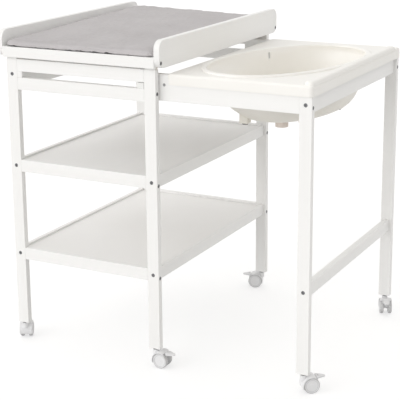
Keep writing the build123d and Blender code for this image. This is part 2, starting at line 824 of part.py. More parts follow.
axle_centre = (castor_trail, wheel_radius)
fender_outer = fender_inner + fender_thick
hood_top = castor_height - stem_nut_height - swivel_clear
pin_angle = math.radians(lever_angle)
pin_centre = (castor_trail + lever_distance * math.cos(pin_angle),
              wheel_radius + lever_distance * math.sin(pin_angle))
lever_tip = (lever_reach - lever_tip_radius, pin_centre[1] - lever_drop)


def sector(radius, start, end):
    """A sector of a disc about the axle, between two angles, added to the sketch being drawn."""
    with BuildLine() as outline:
        arc = CenterArc(axle_centre, radius, start, end - start)
        Line(arc @ 0, axle_centre)
        Line(arc @ 1, axle_centre)
    make_face(outline.edges())


def castor_hood(spot):
    """The swivelling body: a web between the wheels, a fender over them and a socket for the stem."""
    with BuildPart() as hood:
        with BuildSketch(castor_side(spot, -fender_half)) as fender:
            sector(fender_outer, fender_start, fender_end)
        extrude(amount=2 * fender_half)
        fillet(hood.edges().filter_by(GeomType.CIRCLE), fender_rounding)
        with BuildSketch(castor_side(spot, -web_half)) as web:
            sector(fender_outer - web_step, web_start, fender_end - web_step_angle)
            with Locations(axle_centre):
                Circle(web_hub_radius)
            with Locations(pin_centre):
                Circle(lever_eye_radius)
        extrude(web.sketch, amount=2 * web_half)
        rod(castor_level(spot, swivel_base), swivel_radius, hood_top - swivel_base)
        for side in (-1, 1):
            castor_rod(spot, axle_centre, side * web_half, side * fender_half * 2, fender_inner, Mode.SUBTRACT)
        castor_rod(spot, axle_centre, -web_half, web_half, axle_radius + axle_clear, Mode.SUBTRACT)
        castor_rod(spot, pin_centre, -web_half, web_half, lever_pin_radius + axle_clear, Mode.SUBTRACT)
        stem_hole = castor_level(spot, stem_bottom - swivel_clear)
        rod(stem_hole, stem_radius + stem_clear, castor_height - stem_bottom, Mode.SUBTRACT)
        axle_half = wheel_inner + wheel_width - wheel_cap - axle_end_clear
        castor_rod(spot, axle_centre, -axle_half, axle_half, axle_radius)
        castor_rod(spot, pin_centre, -lever_ear_outer, lever_ear_outer, lever_pin_radius)
    return hood


def castor_wheels(spot):
    """Two wheels on the axle, each with a dished face, a boss and rounded shoulders."""
    with BuildPart() as wheels:
        for side in (-1, 1):
            castor_rod(spot, axle_centre, side * wheel_inner, side * (wheel_inner + wheel_width), wheel_radius)
        fillet(wheels.edges(), wheel_rounding)
        for side in (-1, 1):
            face = side * (wheel_inner + wheel_width)
            dish = face - side * wheel_dish_depth
            castor_rod(spot, axle_centre, dish, face, wheel_dish_radius, Mode.SUBTRACT)
            castor_rod(spot, axle_centre, dish, face, wheel_boss_radius)
            bore_end = side * (wheel_inner + wheel_width - wheel_cap)
            castor_rod(spot, axle_centre, side * wheel_inner, bore_end, axle_radius + axle_clear, Mode.SUBTRACT)
    return wheels


def castor_lever(spot):
    """The brake lever: two ears on a pin, joined behind the web and narrowed to a round tip."""
    waist = pin_centre[0] + lever_eye_radius + lever_web_clear
    with BuildPart() as lever:
        with BuildSketch(castor_level(spot, 0)) as plan:
            with BuildLine():
                Polyline((lever_tip[0], lever_tip_radius), (waist, lever_ear_outer),
                         (pin_centre[0] - lever_eye_radius, lever_ear_outer),
                         (pin_centre[0] - lever_eye_radius, -lever_ear_outer),
                         (waist, -lever_ear_outer), (lever_tip[0], -lever_tip_radius))
                ThreePointArc((lever_tip[0], -lever_tip_radius), (lever_reach, 0),
                              (lever_tip[0], lever_tip_radius))
            make_face()
        extrude(amount=castor_height)
        with BuildSketch(castor_side(spot, -fender_half)) as bar:
            with Locations(pin_centre):
                Circle(lever_eye_radius)
            with Locations((lever_tip[0] + lever_tip_radius, lever_tip[1])):
                Circle(lever_tip_half)
            make_hull()
        extrude(bar.sketch, amount=2 * fender_half, mode=Mode.INTERSECT)
        with BuildSketch(castor_side(spot, -lever_ear_inner)) as slot:
            with Locations(pin_centre):
                Rectangle(2 * (waist - pin_centre[0]), castor_height)
        extrude(slot.sketch, amount=2 * lever_ear_inner, mode=Mode.SUBTRACT)
        castor_rod(spot, pin_centre, -fender_half, fender_half, lever_pin_radius + axle_clear, Mode.SUBTRACT)
    return lever


for name, spot in castors.items():
    save(castor_hood(spot), "castor_hood_" + name)
    save(castor_wheels(spot), "castor_wheels_" + name)
    save(castor_lever(spot), "castor_lever_" + name)

print("travel of the tub's frame", travel, "origin", origin_x, origin_y)
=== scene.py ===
# %% [markdown]
# A changing table with a bathtub that slides out of its right-hand side.
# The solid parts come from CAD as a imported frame. This file gives them their
# finishes, sews the changing mat, and sets up the floor, the light and the
# camera. Each piece of work is a short cell, with a note before it for a
# reader who is learning Blender.

import json
import math

import bmesh
import bpy
from mathutils import Matrix, Vector, noise


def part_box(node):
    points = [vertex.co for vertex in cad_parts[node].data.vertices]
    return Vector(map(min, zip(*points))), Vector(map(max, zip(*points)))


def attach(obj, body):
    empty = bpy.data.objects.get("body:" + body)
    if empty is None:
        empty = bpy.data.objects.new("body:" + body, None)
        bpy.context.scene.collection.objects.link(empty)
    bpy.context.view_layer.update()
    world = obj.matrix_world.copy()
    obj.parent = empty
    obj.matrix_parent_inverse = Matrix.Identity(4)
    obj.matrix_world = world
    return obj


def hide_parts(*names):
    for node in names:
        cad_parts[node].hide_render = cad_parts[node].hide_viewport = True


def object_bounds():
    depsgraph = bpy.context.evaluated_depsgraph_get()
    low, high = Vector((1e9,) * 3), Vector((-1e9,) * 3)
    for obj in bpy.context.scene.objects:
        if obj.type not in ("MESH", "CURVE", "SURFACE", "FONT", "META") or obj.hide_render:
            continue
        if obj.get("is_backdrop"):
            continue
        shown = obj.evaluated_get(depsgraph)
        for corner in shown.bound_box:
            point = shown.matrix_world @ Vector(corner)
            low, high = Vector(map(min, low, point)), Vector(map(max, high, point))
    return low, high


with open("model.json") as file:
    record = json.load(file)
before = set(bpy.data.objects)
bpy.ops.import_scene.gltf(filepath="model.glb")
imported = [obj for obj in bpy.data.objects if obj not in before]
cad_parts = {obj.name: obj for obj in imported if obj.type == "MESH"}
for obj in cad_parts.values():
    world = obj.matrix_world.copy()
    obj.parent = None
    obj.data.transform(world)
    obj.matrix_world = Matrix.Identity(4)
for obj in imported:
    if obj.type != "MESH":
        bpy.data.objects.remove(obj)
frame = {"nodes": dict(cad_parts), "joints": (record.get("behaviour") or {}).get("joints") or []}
nodes = frame["nodes"]
cad_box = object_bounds()
print("CAD nodes:", len(nodes))

# %% [markdown]
# The camera stands in front of the right-hand corner, about eye height of a
# standing person, and looks down a little. The table hangs a little below the
# lens's axis, as in a picture that was cropped from a taller one, and a small
# lens shift does the same here: it lets the legs lean less than tilting the
# camera down would. A long lens keeps the near and far legs close in size.

# %% Camera
photo_width = 400
focal_pixels = 1201.43
axis_pixel = (200.0, 160.0)
camera_place = Vector((1.69132, -3.33635, 1.50847))
camera_turn, camera_height, camera_roll = 27.504, 14.269, -0.469

turn, height, roll = (math.radians(v) for v in (camera_turn, camera_height, camera_roll))
back = Vector((math.sin(turn) * math.cos(height), -math.cos(turn) * math.cos(height), math.sin(height)))
right = Vector((math.cos(turn), math.sin(turn), 0))
up = back.cross(right)
rolled_right = right * math.cos(roll) + up * math.sin(roll)
rolled_up = up * math.cos(roll) - right * math.sin(roll)

lens = bpy.data.cameras.new("camera")
lens.sensor_width = 36
lens.lens = focal_pixels / photo_width * lens.sensor_width
lens.shift_x = (photo_width / 2 - axis_pixel[0]) / photo_width
lens.shift_y = (axis_pixel[1] - photo_width / 2) / photo_width
camera = bpy.data.objects.new("camera", lens)
facing = Matrix((rolled_right, rolled_up, back)).transposed().to_4x4()
camera.matrix_world = Matrix.Translation(camera_place) @ facing
bpy.context.scene.collection.objects.link(camera)
bpy.context.scene.camera = camera
print("lens %.1f mm, shift %.3f %.3f" % (lens.lens, lens.shift_x, lens.shift_y))

# %% [markdown]
# Shader maths reads best as Python. A Wire stands for one output socket: when
# it is added, subtracted or multiplied, it adds the Math node that does so and
# returns that node's output. A Sheet is one node tree to draw on, and its
# method add makes any other node from its type, its settings and its sockets'
# values. Materials, the floor and the world all use it.

# %% Wires and sheets
class Wire:
    """An output socket whose arithmetic adds Math nodes."""

    def __init__(self, sheet, socket):
        self.sheet, self.socket = sheet, socket

    def maths(self, operation, *values):
        return self.sheet.add("Math", {"operation": operation}, *values)

    def __add__(self, other):
        return self.maths("ADD", self, other)

    def __radd__(self, other):
        return self.maths("ADD", other, self)

    def __sub__(self, other):
        return self.maths("SUBTRACT", self, other)

    def __rsub__(self, other):
        return self.maths("SUBTRACT", other, self)

    def __mul__(self, other):
        return self.maths("MULTIPLY", self, other)

    def __rmul__(self, other):
        return self.maths("MULTIPLY", other, self)

    def ramp(self, low, high):
        """0 at low, 1 at high, with a smooth step between."""
        settings = {"interpolation_type": "SMOOTHSTEP"}
        return self.sheet.add("MapRange", settings, Value=self, From_Min=low, From_Max=high)


class Sheet:
    """A node tree to draw on."""

    def __init__(self, tree):
        self.tree = tree

    def add(self, kind, settings=None, *values, out=0, **sockets):
        node = self.tree.nodes.new("ShaderNode" + kind)
        for name, value in (settings or {}).items():
            setattr(node, name, value)
        for socket, value in zip(node.inputs, values):
            self.feed(socket, value)
        for name, value in sockets.items():
            self.feed(node.inputs[name.replace("_", " ")], value)
        return Wire(self, node.outputs[out]) if node.outputs else None

    def feed(self, socket, value):
        if isinstance(value, Wire):
            self.tree.links.new(value.socket, socket)
        else:
            socket.default_value = value

    def mix(self, mask, first, second):
        """One colour or the other, by a mask."""
        node = self.tree.nodes.new("ShaderNodeMix")
        node.data_type = "RGBA"
        for socket, value in ((node.inputs[0], mask), (node.inputs[6], first), (node.inputs[7], second)):
            self.feed(socket, value)
        return Wire(self, node.outputs[2])

    def vector(self, operation, *values, out=0, **sockets):
        return self.add("VectorMath", {"operation": operation}, *values, out=out, **sockets)


class Finish(Sheet):
    """A material with a Principled shader, whose fixed sockets are set straight away."""

    def __init__(self, name, **sockets):
        self.material = bpy.data.materials.new(name)
        self.material.use_nodes = True
        super().__init__(self.material.node_tree)
        self.shader = self.tree.nodes["Principled BSDF"]
        self.give(**sockets)
        self.place = self.add("TexCoord", out="Object")

    def give(self, **sockets):
        for name, value in sockets.items():
            self.feed(self.shader.inputs[name.replace("_", " ")], value)

    def stretched(self, scale, turn=(0, 0, 0)):
        """Object coordinates, turned and then multiplied along each axis."""
        return self.add("Mapping", None, Vector=self.place, Scale=scale, Rotation=turn)

    def noise(self, scale, vector=None, detail=2.0, roughness=0.5, seed=0.0):
        return self.add("TexNoise", {"noise_dimensions": "4D"}, Vector=vector or self.place, W=seed,
                        Scale=scale, Detail=detail, Roughness=roughness)

    def edges(self, radius):
        """1 where the surface turns a corner within the radius, 0 on flat ground."""
        rounded = self.add("Bevel", {"samples": 4}, Radius=radius)
        plain = self.add("NewGeometry", out="True Normal")
        return (1 - self.vector("DOT_PRODUCT", rounded, plain, out="Value")).ramp(0.02, 0.25)

    def bumps(self, height, distance, strength=1.0):
        self.give(Normal=self.add("Bump", None, Height=height, Distance=distance, Strength=strength))


finished = {}


def wear(finish, *names):
    """Put a finish on CAD nodes."""
    for name in names:
        slots = nodes[name].data.materials
        slots.clear()
        slots.append(finish.material)
        finished[name] = finish.material.name


# %% [markdown]
# The boards are beech and pine under white lacquer. Up close the film keeps a
# trace of the wood: long shallow pores along the grain, a soft gloss that
# varies where hands have been, and a slightly warmer tone on worn edges. The
# grain follows each board's length, so the same finish is made once for each
# direction. Stretching a noise along that direction draws the pores.

# %% White lacquer
def white_lacquer(name, along):
    wood = Finish(name, Coat_Roughness=0.25, IOR=1.5)
    across, lengthways = 1.0, 0.03
    scale = [across] * 3
    scale[along] = lengthways
    grain_place = wood.stretched(tuple(scale))
    grain = wood.noise(260, grain_place, detail=4, roughness=0.6)
    pores = wood.noise(1500, grain_place, detail=2, seed=3).ramp(0.62, 0.72)
    figure = wood.noise(34, grain_place, detail=3, seed=7)
    handled = wood.noise(5, detail=3, seed=11)
    peel = wood.noise(420, detail=1, seed=13)
    edge = wood.edges(0.0016) * wood.noise(60, detail=3, seed=17).ramp(0.35, 0.65)
    paint = wood.mix(figure.ramp(0.3, 0.7), (0.885, 0.880, 0.868, 1), (0.905, 0.902, 0.892, 1))
    paint = wood.mix(pores * 0.25, paint, (0.80, 0.785, 0.75, 1))
    paint = wood.mix(edge * 0.35, paint, (0.82, 0.795, 0.745, 1))
    wood.give(Base_Color=paint, Coat_Weight=0.12 + handled * 0.12)
    wood.give(Roughness=0.36 + handled * 0.14 + pores * 0.1)
    wood.bumps(grain * 0.5 + peel * 0.3 - pores * 0.6, 0.00012, 0.5)
    return wood


lacquer_x = white_lacquer("white_lacquer_along_x", 0)
lacquer_y = white_lacquer("white_lacquer_along_y", 1)
lacquer_upright = white_lacquer("white_lacquer_upright", 2)

sides = ("front", "back")
wear(lacquer_upright, *("leg_%s_%s" % (a, b) for a in sides for b in ("left", "right")),
     *("tub_leg_" + a for a in sides))
wear(lacquer_x, *("%s_%s_rail" % (a, b) for a in ("upper", "lower") for b in sides),
     "middle_shelf_cross_rails", "bottom_shelf_cross_rails",
     *("top_%s_board" % a for a in sides), *("tub_frame_%s_board" % a for a in sides))
wear(lacquer_y, "left_side_board", "middle_shelf_side_rails", "bottom_shelf_side_rails",
     "top_left_guard", "top_right_guard", "tub_frame_end_board", "tub_frame_inner_tie",
     "tub_frame_cross_rail")
print("lacquered nodes:", len(finished))

# %% [markdown]
# The shelf panels and the panel under the mat are thin coated board. They have
# no grain, only the fine pebble of a rolled paint film and faint rub marks
# where boxes slide over them.

# %% Coated panels
panel = Finish("coated_panel", IOR=1.5)
pebble = panel.noise(700, detail=2, seed=2)
rubbed = panel.noise(26, panel.stretched((1, 0.2, 1), turn=(0, 0, 0.5)), detail=5, seed=5).ramp(0.55, 0.75)
tone = panel.noise(3.2, detail=2, seed=9)
panel.give(Base_Color=panel.mix(tone.ramp(0.3, 0.7), (0.875, 0.865, 0.85, 1), (0.895, 0.887, 0.875, 1)))
panel.give(Roughness=0.42 - rubbed * 0.12 + pebble * 0.06, Coat_Weight=0.05 + rubbed * 0.08)
panel.bumps(pebble + rubbed * 0.2, 0.0001, 0.5)
wear(panel, "middle_shelf_panel", "bottom_shelf_panel", "top_panel")

# %% [markdown]
# The dowels and the corner blocks under the top are unpainted beech: pale
# straw with short dark flecks along the grain.

# %% Bare beech
beech = Finish("bare_beech", IOR=1.5)
flecks = beech.noise(900, beech.stretched((1, 1, 0.08)), detail=2, seed=4).ramp(0.58, 0.7)
rings = beech.noise(60, beech.stretched((1, 1, 0.05)), detail=3, seed=6)
straw = beech.mix(rings.ramp(0.3, 0.7), (0.62, 0.45, 0.27, 1), (0.72, 0.55, 0.35, 1))
beech.give(Base_Color=beech.mix(flecks * 0.6, straw, (0.42, 0.27, 0.14, 1)), Roughness=0.6 + flecks * 0.15)
beech.bumps(rings - flecks * 0.5, 0.0002, 0.5)
wear(beech, "rail_dowels", "top_corner_blocks")

# %% [markdown]
# The tub is moulded in a creamy plastic with a soft gloss. A mould leaves a
# very fine pebble, and use leaves hair-thin scratches and a duller bottom, so
# the roughness varies more than the colour. Low down the colour is painted a
# shade deeper and more yellow: painted shade, for the dimmer, warmer light
# under the tub.

# %% Tub plastic
cream = Finish("tub_plastic", IOR=1.49, Coat_Roughness=0.2)
pebble = cream.noise(900, detail=2, seed=1)
cloudy = cream.noise(7, detail=3, seed=5)
drawn_out = cream.stretched((1, 0.04, 1), turn=(0, 0, 0.9))
scratch = cream.noise(90, drawn_out, detail=6, roughness=0.7, seed=8).ramp(0.66, 0.7)
shade_full_below, shade_end_above = 0.755, 0.84
over_floor = cream.add("SeparateXYZ", None, cream.place, out="Z")
milk = cream.mix(cloudy.ramp(0.3, 0.7), (0.910, 0.893, 0.855, 1), (0.925, 0.910, 0.878, 1))
# Painted shade: low down the cream is mixed toward a deeper, yellower tone, for the dimmer, warmer light
# under the tub.
painted_shade_low = 1 - over_floor.ramp(shade_full_below, shade_end_above)
cream.give(Base_Color=cream.mix(painted_shade_low, milk, (0.82, 0.79, 0.72, 1)))
cream.give(Roughness=0.36 + cloudy * 0.12 + scratch * 0.12, Coat_Weight=0.12 - scratch * 0.06)
cream.bumps(pebble * 0.6 - scratch * 0.3, 0.00008, 0.5)
wear(cream, "bath_tub")

# %% [markdown]
# Small parts: zinc-plated bolts and stems, nylon guides and pads, rubber, the
# beige drain spout and the castors' white plastic. Each has its own grain at
# its own scale, because a bolt head and a tub never scatter light alike.

# %% Metal and small plastics
zinc = Finish("zinc_plate", Metallic=1.0)
spangle = zinc.noise(420, detail=3, seed=1)
brushed = zinc.noise(2600, zinc.stretched((1, 1, 0.1)), detail=2, seed=2)
zinc.give(Base_Color=zinc.mix(spangle.ramp(0.35, 0.65), (0.17, 0.172, 0.178, 1), (0.27, 0.272, 0.28, 1)))
zinc.give(Roughness=0.28 + spangle * 0.18 + brushed * 0.08)
zinc.bumps(brushed, 0.00004, 0.5)
wear(zinc, "main_bolts", "main_barrel_nuts", "tub_frame_bolts", "tub_frame_barrel_nuts",
     "main_castor_stems", "tub_castor_stems")


def moulded(name, dark, light, rough, grain=800, **sockets):
    """Plain moulded plastic or rubber: two close tones and a fine pebble."""
    plastic = Finish(name, **sockets)
    tone = plastic.noise(45, detail=3, seed=2)
    grit = plastic.noise(grain, detail=2, seed=6)
    edge = plastic.edges(0.0008)
    shade = plastic.mix(tone.ramp(0.3, 0.7), (*dark, 1), (*light, 1))
    plastic.give(Base_Color=plastic.mix(edge * 0.25, shade, (*[min(1, c * 1.12) for c in light], 1)))
    plastic.give(Roughness=rough + tone * 0.12 + grit * 0.05)
    plastic.bumps(grit, 0.00008, 0.5)
    return plastic


nylon = moulded("guide_nylon", (0.82, 0.82, 0.80), (0.86, 0.86, 0.85), 0.38, IOR=1.53)
wear(nylon, "tub_frame_guides", "top_pads")
rubber = moulded("grey_rubber", (0.10, 0.10, 0.10), (0.14, 0.14, 0.14), 0.62)
wear(rubber, "tub_foot_pads", "drain_plug")
beige = moulded("drain_beige", (0.78, 0.69, 0.63), (0.84, 0.76, 0.70), 0.35, IOR=1.49)
wear(beige, "drain_spout")
castor_white = moulded("castor_white", (0.78, 0.78, 0.79), (0.84, 0.84, 0.85), 0.26, IOR=1.49,
                       Coat_Weight=0.15)
wheel_names = ("front_left", "front_right", "back_left", "back_right", "tub_front", "tub_back")
for part in ("castor_hood_", "castor_lever_"):
    wear(castor_white, *(part + name for name in wheel_names))

# %% [markdown]
# One small grey screw head sits in the tub's front board, just right of the
# table's leg and level with the slot between its rails. It is made from a
# short cylinder: the rim of its face is bevelled, and the middle is inset and
# pushed back for the driver.

# %% Screw in the tub's front board
screw_radius, screw_rise, screw_sunk = 0.0043, 0.0012, 0.0004
screw_from_leg, screw_under_rail = 0.0161, 0.0067
rim_bevel, driver_inset, driver_depth = 0.0004, 0.45, 0.0005
leg_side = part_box("leg_front_right")[1].x
board_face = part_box("tub_frame_front_board")[0].y
rail_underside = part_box("upper_front_rail")[0].z
screw_place = Vector((leg_side + screw_from_leg, board_face, rail_underside - screw_under_rail))
turned = bmesh.new()
bmesh.ops.create_cone(turned, cap_ends=True, segments=40, radius1=screw_radius, radius2=screw_radius,
                      depth=screw_rise + screw_sunk)
cap = max(turned.faces, key=lambda f: f.calc_center_median().z)
bmesh.ops.bevel(turned, geom=list(cap.edges), offset=rim_bevel, offset_type="OFFSET", segments=3,
                profile=0.5, affect="EDGES", material=-1)
cap = max(turned.faces, key=lambda f: (round(f.calc_center_median().z, 6), f.calc_area()))
bmesh.ops.inset_region(turned, faces=[cap], thickness=screw_radius * driver_inset)
bmesh.ops.translate(turned, vec=(0, 0, -driver_depth), verts=cap.verts)
bmesh.ops.translate(turned, vec=(0, 0, (screw_rise - screw_sunk) / 2), verts=turned.verts)
to_front = Matrix.Rotation(math.radians(90), 3, "X")
bmesh.ops.rotate(turned, cent=(0, 0, 0), matrix=to_front, verts=turned.verts)
bmesh.ops.translate(turned, vec=screw_place, verts=turned.verts)
bmesh.ops.recalc_face_normals(turned, faces=turned.faces)
screw_mesh = bpy.data.meshes.new("tub_board_screw")
turned.to_mesh(screw_mesh)
turned.free()
screw = bpy.data.objects.new("tub_board_screw", screw_mesh)
bpy.context.scene.collection.objects.link(screw)
screw_mesh.materials.append(moulded("screw_grey", (0.30, 0.30, 0.30), (0.38, 0.38, 0.38), 0.4).material)
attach(screw, "tub_frame")
print("screw at", [round(v, 4) for v in screw_place], "faces", len(screw_mesh.polygons))

# %% [markdown]
# A castor wheel is a pale plastic disc with a light grey band pressed round it.
# A thin darker ring on the disc is painted shade, standing for a groove. The
# band and the ring are painted by distance from the wheel's own axle, which the
# joint in the frame gives, so the ring stays round however the castor is turned.

# %% Castor wheels
joints = {j["name"]: j for j in frame["joints"]}
tread_radius, groove_shade_inner, groove_shade_outer = 0.0208, 0.0170, 0.0184
line_blur = 0.0002


def wheel_finish(name):
    roll_joint = joints["roll_" + name]
    axle, middle = Vector(roll_joint["axis"]), Vector(roll_joint["pos_m"])
    wheel = Finish("castor_wheel_" + name, IOR=1.5)
    arm = wheel.vector("SUBTRACT", wheel.place, middle)
    reach = wheel.vector("DOT_PRODUCT", arm, axle, out="Value")
    along = wheel.vector("SCALE", axle, Scale=reach)
    from_axle = wheel.vector("LENGTH", wheel.vector("SUBTRACT", arm, along), out="Value")

    def outside(radius):
        return from_axle.ramp(radius - line_blur, radius + line_blur)

    band = outside(tread_radius)
    # Painted shade: a thin darker ring on the disc stands for the shade in a groove.
    painted_groove_shade = outside(groove_shade_inner) * (1 - outside(groove_shade_outer))
    grit = wheel.noise(700, detail=2, seed=3)
    dust = wheel.noise(90, detail=4, seed=5).ramp(0.4, 0.7)
    disc = wheel.mix(painted_groove_shade * 0.6, (0.82, 0.82, 0.83, 1), (0.50, 0.50, 0.51, 1))
    tread = wheel.mix(dust, (0.64, 0.64, 0.65, 1), (0.54, 0.535, 0.53, 1))
    wheel.give(Base_Color=wheel.mix(band, disc, tread), Roughness=0.34 + band * 0.22 + grit * 0.06)
    wheel.bumps(grit, 0.0001, 0.5)
    return wheel


for name in wheel_names:
    wear(wheel_finish(name), "castor_wheels_" + name)
print("finished nodes:", len(finished))

# %% [markdown]
# The changing mat is a foam pad in a sewn muslin cover. It starts as a bevelled
# block of one thickness. A voxel remesh gives it even squares, each point is
# then lifted to the pad's real thickness at that place, and Blender's Cloth
# with pressure blows the skin up from inside, which puts the small uneven
# swellings of stuffing into its sides and corners.

# %% The mat's block
mat_low, mat_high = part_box("changing_mat")
mat_size = mat_high - mat_low
swell, overhang, bottom_gap = 0.003, 0.004, 0.0004
block_height = 0.022
corner_round, top_round, bottom_round = 0.020, 0.0105, 0.0045
level = 1e-5


def pad_block(low, high):
    """A bevelled block between two corners, with a wide roll along its top edge."""
    form = bmesh.new()
    bmesh.ops.create_cube(form, size=1.0)
    tall = high.z - low.z
    bmesh.ops.scale(form, vec=high - low, verts=form.verts)
    upright = [e for e in form.edges if abs(e.verts[0].co.z - e.verts[1].co.z) > tall / 2]
    for offset, segments, chosen in (
        (corner_round, 5, lambda e: e in upright),
        (top_round, 5, lambda e: all(v.co.z > 0 for v in e.verts)),
        (bottom_round, 3, lambda e: all(v.co.z < -tall / 2 + level for v in e.verts)),
    ):
        picked = [e for e in form.edges if chosen(e)]
        bmesh.ops.bevel(form, geom=picked, offset=offset, offset_type="OFFSET", segments=segments,
                        profile=0.5, affect="EDGES", material=-1)
    bmesh.ops.translate(form, vec=(low + high) / 2, verts=form.verts)
    bmesh.ops.recalc_face_normals(form, faces=form.faces)
    return form


block_low = Vector((mat_low.x + swell, mat_low.y - overhang, mat_low.z + bottom_gap))
block_high = Vector((mat_high.x - swell, mat_high.y - swell, mat_low.z + block_height))
form = pad_block(block_low, block_high)
mat_mesh = bpy.data.meshes.new("changing_mat_cover")
form.to_mesh(mat_mesh)
form.free()
mat = bpy.data.objects.new("changing_mat_cover", mat_mesh)
bpy.context.scene.collection.objects.link(mat)
print("mat block faces:", len(mat_mesh.polygons), "size", [round(v, 3) for v in mat_size])

# %% [markdown]
# The pad is thinnest along the guards, thicker in its middle, and thickest at
# the back left corner, where the baby's head lies. Its thickness is one small
# formula of the place on the mat, so every later step can ask for it again.

# %% The pad's thickness
front_thick, back_thick, back_fall = 0.0205, 0.0365, 0.0135
middle_rise, side_roll, side_share = 0.008, 0.05, 0.56
square = 0.006


def clamp(value):
    return min(1.0, max(0.0, value))


def thickness(point):
    """The pad's height above the panel at a place, in metres."""
    u = clamp((point.x - mat_low.x) / mat_size.x)
    v = clamp((point.y - mat_low.y) / mat_size.y)
    behind = back_thick - back_fall * u
    body = front_thick + (behind - front_thick) * v * v * (3 - 2 * v)
    body += middle_rise * math.sin(math.pi * u) * math.sin(math.pi * v)
    side = clamp(min(point.x - mat_low.x, mat_high.x - point.x) / side_roll)
    return body * (side_share + (1 - side_share) * math.sqrt(1 - (1 - side) ** 2))


def apply_modifiers(thing):
    """Replace an object's mesh by what its modifiers make of it."""
    graph = bpy.context.evaluated_depsgraph_get()
    made = bpy.data.meshes.new_from_object(thing.evaluated_get(graph))
    thing.modifiers.clear()
    old = thing.data
    thing.data = made
    bpy.data.meshes.remove(old)


remesh = mat.modifiers.new("even squares", "REMESH")
remesh.mode, remesh.voxel_size = "VOXEL", square
apply_modifiers(mat)
for vertex in mat.data.vertices:
    vertex.co.z = mat_low.z + (vertex.co.z - mat_low.z) * thickness(vertex.co) / block_height
print("mat vertices:", len(mat.data.vertices))

# %% [markdown]
# The simulation takes twenty steps with gravity off. Each point may move only
# a few millimetres, so that the pad stays the size it is on the table, and the
# next cell puts any point that sank under the panel's top back on it.

# %% Blow it up
last_step, most_allowed = 20, 0.004
start = [v.co.copy() for v in mat.data.vertices]
cloth = mat.modifiers.new("stuffing", "CLOTH")
cloth.settings.use_pressure = True
cloth.settings.uniform_pressure_force = 4
cloth.settings.effector_weights.gravity = 0
cloth.settings.quality = 4
cloth.settings.tension_stiffness = 15
cloth.settings.compression_stiffness = 15
cloth.settings.bending_stiffness = 0.4
cloth.point_cache.frame_start, cloth.point_cache.frame_end = 1, last_step
for step in range(1, last_step + 1):
    bpy.context.scene.frame_set(step)
apply_modifiers(mat)
bpy.context.scene.frame_set(1)
most = 0.0
for vertex, before in zip(mat.data.vertices, start):
    moved = vertex.co - before
    most = max(most, moved.length)
    if moved.length > most_allowed:
        vertex.co = before + moved.normalized() * most_allowed
print("largest move in the simulation: %.1f mm" % (most * 1000))

# %% [markdown]
# Muslin is never flat. Once the simulation is done, the skin gets finer
# squares and three kinds of relief, each a noise of the place on the mat:
# long creases that run along the front and back rolls, an even crinkle all
# over, and a waviness of the two ends. A sewn seam runs round the side: the
# surface is drawn in along one line, more here and less there, as stitches
# pull it. The seam comes last, because a remesh would erase it.

# %% Creases, crinkle and seam
smooth = mat.modifiers.new("finer cloth", "SUBSURF")
smooth.levels = smooth.render_levels = 1
apply_modifiers(mat)
seam_rise, seam_width, seam_depth, upright_share = 0.0092, 0.0026, 0.0016, 0.45
crease_depth, crinkle_depth, fine_depth = 0.0019, 0.0012, 0.0006
wave_depth, ripple_depth = 0.0022, 0.0012
end_reach, flat_under = 0.06, 0.006


def bend(point, across, along, up, seed):
    """A smooth noise from -1 to 1 whose waves have these counts per metre."""
    return noise.noise(Vector((point.x * across + seed, point.y * along + 2 * seed, point.z * up)))


skin = [(vertex.co.copy(), vertex.normal.copy()) for vertex in mat.data.vertices]
for vertex, (point, normal) in zip(mat.data.vertices, skin):
    from_end = min(point.y - mat_low.y + overhang, mat_high.y - point.y)
    upper = clamp((point.z - mat_low.z) / flat_under)
    near_end = math.exp(-max(0.0, from_end) / end_reach)
    creases = bend(point, 11, 75, 75, 3.1) * crease_depth * near_end
    crinkle = bend(point, 42, 34, 40, 7.7) * crinkle_depth + bend(point, 95, 80, 80, 1.3) * fine_depth
    swag = bend(point, 16, 0, 0, 5.2) * wave_depth + bend(point, 48, 0, 0, 9.4) * ripple_depth
    moved = point + normal * (creases + crinkle) * upper
    moved.y += swag * near_end * (0.3 + 0.7 * upper)
    seam = math.exp(-(((point.z - mat_low.z - seam_rise) / seam_width) ** 2))
    sideways = Vector((normal.x, normal.y, 0))
    if sideways.length > upright_share:
        stitch = 0.75 + 0.25 * bend(point, 130, 130, 0, 4.4)
        moved -= sideways.normalized() * seam * seam_depth * stitch
    moved.z = max(moved.z, mat_low.z)
    moved.x = min(max(moved.x, mat_low.x), mat_high.x)
    vertex.co = moved
for polygon in mat.data.polygons:
    polygon.use_smooth = True
print("mat faces:", len(mat.data.polygons), "highest %.1f mm over the panel" % (
    1000 * (max(v.co.z for v in mat.data.vertices) - mat_low.z)))

# %% [markdown]
# Muslin is a loose plain weave of uneven yarn. Two wave textures at right
# angles draw warp and weft, a coarse noise bends them, and thick places in
# the yarn make pale slubs. The height of the point is added to the waves'
# place, so that the threads run on down the sides. The lower part of the side
# is painted a shade paler: painted light, for the front roll that faces the
# light. Along the bottom edge the cover is painted near black in a broken line:
# painted shadow, for the contact shade where the pad rests on the panel. Its
# mask is the height of the point, roughened by noise.

